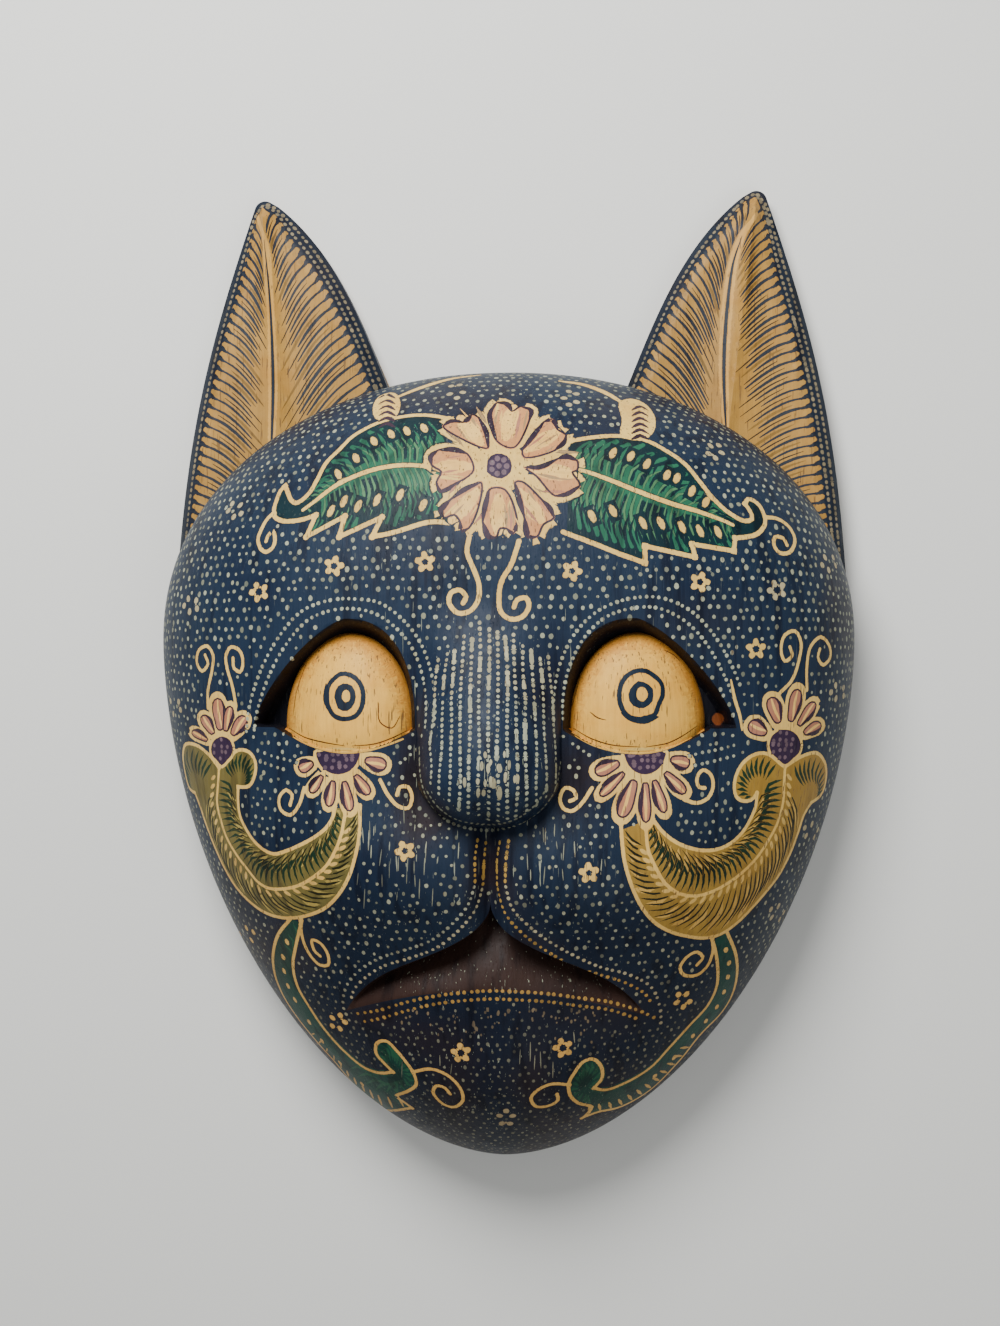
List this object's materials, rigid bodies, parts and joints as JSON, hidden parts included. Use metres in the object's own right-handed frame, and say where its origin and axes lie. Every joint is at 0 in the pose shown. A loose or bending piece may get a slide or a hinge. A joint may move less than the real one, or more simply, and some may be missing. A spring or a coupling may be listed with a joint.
{
  "type": "cat mask",
  "caption": "Carved wooden cat face mask, domed and hollow behind, with upright pointed ears, round eyes and a down-turned mouth.",
  "frame": {"origin": "middle of the footprint, on the plane that the flat back rim rests on", "axes": "+Z out of the face, +Y from the chin to the ears, +X to the right as one looks at the face"},
  "size_m": [0.179, 0.25, 0.0732],
  "materials": {
    "dyed_wood": "indigo wax-resist dye on pale wood, with a thin satin varnish"
  },
  "bodies": {
    "root": {"mask": "dyed_wood"}
  },
  "joints": []
}
